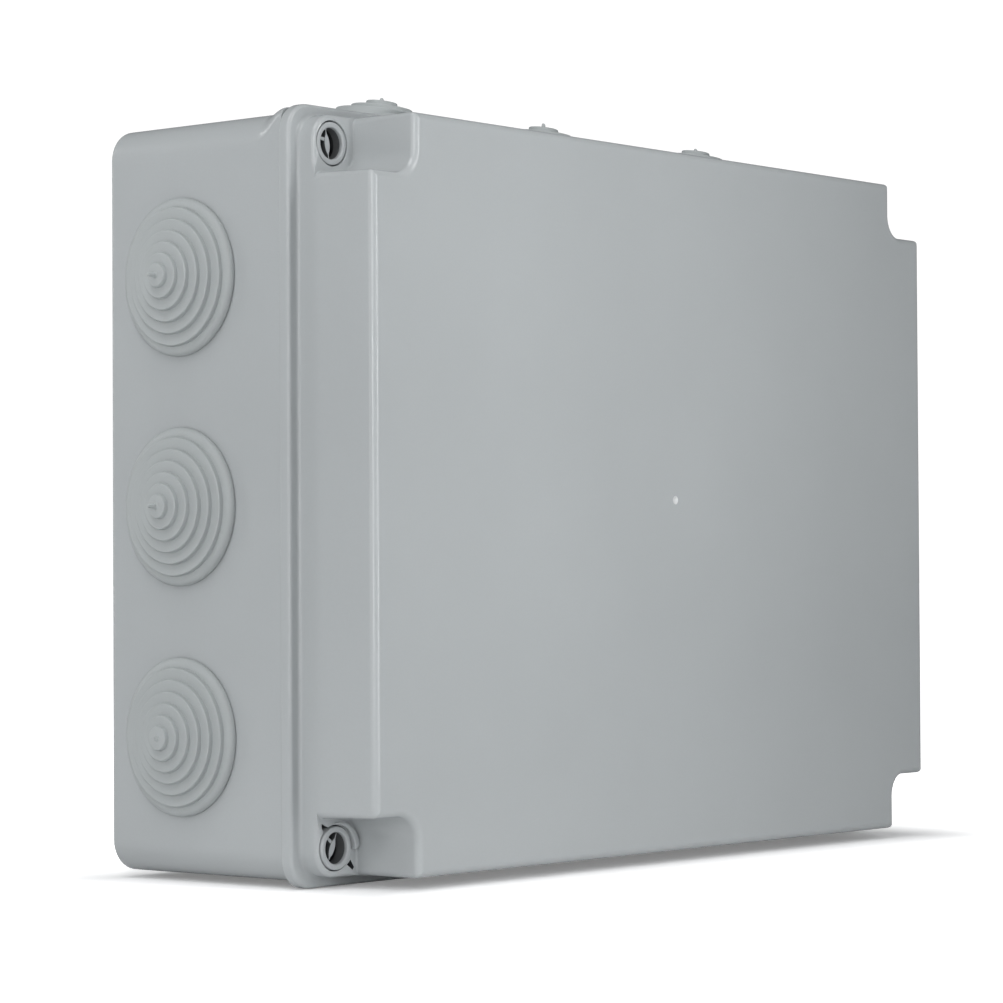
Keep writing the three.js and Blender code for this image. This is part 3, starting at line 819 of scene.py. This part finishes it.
# ------------------------------------------- pieces refined from their CAD node
def refine(node, material, width=0.3, seg=3, angle=34, smooth=40, fn=None):
    src = frame["nodes"][node]
    me = src.data.copy()
    obj = link(bpy.data.objects.new(node + "_visual", me))
    me.name = obj.name
    bm = bmesh.new()
    bm.from_mesh(me)
    bmesh.ops.remove_doubles(bm, verts=bm.verts, dist=1e-6)
    bmesh.ops.dissolve_limit(bm, angle_limit=math.radians(1.0), verts=bm.verts, edges=bm.edges)
    bmesh.ops.recalc_face_normals(bm, faces=bm.faces)
    bm.to_mesh(me)
    bm.free()
    if fn:
        fn(obj)
    m = obj.modifiers.new("bevel", "BEVEL")
    m.width = width * MM
    m.segments = seg
    m.limit_method = "ANGLE"
    m.angle_limit = math.radians(angle)
    m.use_clamp_overlap = True
    m.miter_outer = "MITER_ARC"
    apply_modifiers(obj)
    tidy(obj, 1e-6)
    finish_mesh(obj, material, smooth)
    place(obj, body_of(node), [node])
    return obj


def build_inside():
    for name, m, slot in (("terminal_l1", M_TGREY, "terminal_grey"), ("terminal_l2", M_TGREY, "terminal_grey"),
                          ("terminal_l3", M_TGREY, "terminal_grey"), ("terminal_neutral", M_TBLUE, "terminal_blue"),
                          ("terminal_earth", M_EARTH, "terminal_green")):
        refine(name, m, 0.35)
        for end in ("top", "bottom"):
            refine(f"{name}_screw_{end}", M_STEEL, 0.18, 2)
    for side in ("left", "right"):
        refine("end_bracket_" + side, M_BRACKET, 0.4)
        refine("rail_screw_" + side, M_STEEL, 0.3, 3)
    refine("din_rail", M_RAIL, 0.3, 3)
    for tag, _, _ in CORNERS:
        cx, cz = {"tl": (-118, 84), "tr": (118, 84), "bl": (-118, -84), "br": (118, -84)}[tag]
        prof = rounded([(0, 6.2), (4.5, 6.2), (4.5, 7.8), (6.4, 7.8), (6.4, 9.6), (2.2, 9.6), (1.7, 9.1), (0, 9.1)],
                       [0, 0.3, 0.1, 0.3, 0.8, 0.3, 0.3, 0], 4)
        o = lathe(f"fixing_cap_{tag}_visual", prof, (cx, 0, cz), "y", 48)
        finish_mesh(o, M_CAP, 45)
        place(o, "base", ["fixing_cap_" + tag])
    # sealing strip: a soft flat ring with rounded edges
    rings = []
    for off, y in ((0.35, 76.1), (0.0, 76.25), (0.0, 76.85), (0.35, 77.0)):
        rings.append(rring(152.9 - off, 117.9 - off, 9.7 - off, y))
    for off, y in ((0.35, 77.0), (0.0, 76.85), (0.0, 76.25), (0.35, 76.1)):
        rings.append(rring(150.5 + off, 115.5 + off, 7.3 + off, y))
    n = len(rings[0])
    verts = [v for r in rings for v in r]
    faces = []
    R = len(rings)
    for i in range(R):
        i2 = (i + 1) % R
        for j in range(n):
            k = (j + 1) % n
            faces.append((i * n + j, i * n + k, i2 * n + k, i2 * n + j))
    o = object_from("lid_gasket_visual", verts, faces)
    finish_mesh(o, M_SEAL, 50)
    place(o, "lid", ["lid_gasket"])


build_lid()
build_base()
build_membranes()
build_lid_screws()
build_inside()

# ------------------------------------------------------------ floor and light
FLOOR_Z = CAD_BOX[0][2] if hasattr(CAD_BOX[0], "__len__") else -0.12


def stage_floor():
    """A white table: plain diffuse, so that it takes the contact shadow, with a painted glow seen by the camera only:
    faint at the object's footprint, where it lightens the contact shadow, and rising to white further out."""
    m, nt, b = new_material("mat_floor")
    b.inputs["Base Color"].default_value = (0.90, 0.90, 0.905, 1)
    b.inputs["Roughness"].default_value = 0.8
    b.inputs["Specular IOR Level"].default_value = 0.1
    v = coords(nt)
    sep = nt.nodes.new("ShaderNodeSeparateXYZ")
    nt.links.new(v, sep.inputs[0])

    def op(kind, a, c):
        n = nt.nodes.new("ShaderNodeMath")
        n.operation = kind
        for sock, val in ((n.inputs[0], a), (n.inputs[1], c)):
            if isinstance(val, (int, float)):
                sock.default_value = val
            else:
                nt.links.new(val, sock)
        return n.outputs[0]

    dx = op("MAXIMUM", op("SUBTRACT", op("ABSOLUTE", sep.outputs["X"], 0.0), 0.150), 0.0)
    dy = op("MAXIMUM", op("SUBTRACT", op("ABSOLUTE", op("ADD", sep.outputs["Y"], 0.055), 0.0), 0.052), 0.0)
    dist = op("SQRT", op("ADD", op("MULTIPLY", dx, dx), op("MULTIPLY", dy, dy)), 0.0)
    # painted glow: emission 0.2 at the footprint, lightening the contact shadow, up to 0.95 at 4.5 cm, seen by camera
    # rays only
    glow = maprange(nt, dist, 0.20, 0.95, 0.0, 0.045)
    path = nt.nodes.new("ShaderNodeLightPath")
    b.inputs["Emission Color"].default_value = (1, 1, 1, 1)
    nt.links.new(op("MULTIPLY", glow, path.outputs["Is Camera Ray"]), b.inputs["Emission Strength"])
    s = 40.0
    me = bpy.data.meshes.new("stage_floor")
    z = FLOOR_Z - 0.0002
    me.from_pydata([(-s, -s, z), (s, -s, z), (s, s, z), (-s, s, z)], [], [(0, 1, 2, 3)])
    me.materials.append(m)
    o = link(bpy.data.objects.new("stage_floor", me))


stage_floor()


def area(name, pos, target, sx, sy, power, colour=(1, 1, 1)):
    d = bpy.data.lights.new(name, "AREA")
    d.shape = "RECTANGLE"
    d.size, d.size_y = sx, sy
    d.energy = power
    d.color = colour
    o = link(bpy.data.objects.new(name, d))
    o.location = pos
    o.rotation_euler = (Vector(target) - Vector(pos)).to_track_quat("-Z", "Y").to_euler()
    return o


def polar(azimuth, distance, height):
    a = math.radians(azimuth)
    return (distance * math.sin(a), -distance * math.cos(a), height)


area("soft_left", polar(-78, 0.85, 1.25), (-0.15, -0.05, 0.0), 0.8, 0.8, 7.6)
area("camera_side", polar(-56, 1.4, 0.05), (-0.12, -0.08, 0.0), 0.16, 1.4, 7.6)
area("left_strip", polar(-94, 1.3, 0.0), (-0.15, -0.05, 0.0), 0.30, 1.4, 3.4)
area("front_strip", (-0.078, -0.45, 0.02), (-0.05, -0.11, 0.0), 0.06, 0.80, 1.25)
area("right_strip", polar(22, 1.5, -0.05), (0.0, -0.11, -0.05), 0.15, 1.4, 0.6)
area("back_left", polar(-148, 1.4, 0.15), (-0.15, -0.05, 0.0), 0.15, 1.4, 4.0)

world = bpy.data.worlds.new("studio")
bpy.context.scene.world = world
world.use_nodes = True
wn = world.node_tree
wn.nodes.clear()
wo = wn.nodes.new("ShaderNodeOutputWorld")
bg_light = wn.nodes.new("ShaderNodeBackground")
bg_light.inputs["Color"].default_value = (0.95, 0.98, 1.0, 1)
bg_light.inputs["Strength"].default_value = 0.20
bg_view = wn.nodes.new("ShaderNodeBackground")
bg_view.inputs["Color"].default_value = (1, 1, 1, 1)
bg_view.inputs["Strength"].default_value = 1.05
lp = wn.nodes.new("ShaderNodeLightPath")
mx = wn.nodes.new("ShaderNodeMixShader")
wn.links.new(lp.outputs["Is Camera Ray"], mx.inputs[0])
wn.links.new(bg_light.outputs[0], mx.inputs[1])
wn.links.new(bg_view.outputs[0], mx.inputs[2])
wn.links.new(mx.outputs[0], wo.inputs["Surface"])

# ---------------------------------------------------------------------- camera
yaw, pitch, roll = math.radians(50.590), math.radians(1.278), math.radians(-0.298)
fwd = Vector((math.sin(yaw) * math.cos(pitch), math.cos(yaw) * math.cos(pitch), math.sin(pitch)))
right = Vector((math.cos(yaw), -math.sin(yaw), 0.0))
up = right.cross(fwd)
r2 = right * math.cos(roll) + up * math.sin(roll)
u2 = -right * math.sin(roll) + up * math.cos(roll)
cam_data = bpy.data.cameras.new("camera")
cam_data.sensor_width = 36.0
cam_data.lens = 3457.05 * 36.0 / 1003.0
cam_data.clip_start = 0.05
cam_data.clip_end = 100.0
cam = link(bpy.data.objects.new("camera", cam_data))
rot = Matrix((r2, u2, -fwd)).transposed().to_4x4()
cam.matrix_world = Matrix.Translation(Vector((-0.92481, -0.79501, -0.02578))) @ rot
bpy.context.scene.camera = cam
bpy.context.scene.view_settings.view_transform = "Standard"
bpy.context.scene.view_settings.look = "None"

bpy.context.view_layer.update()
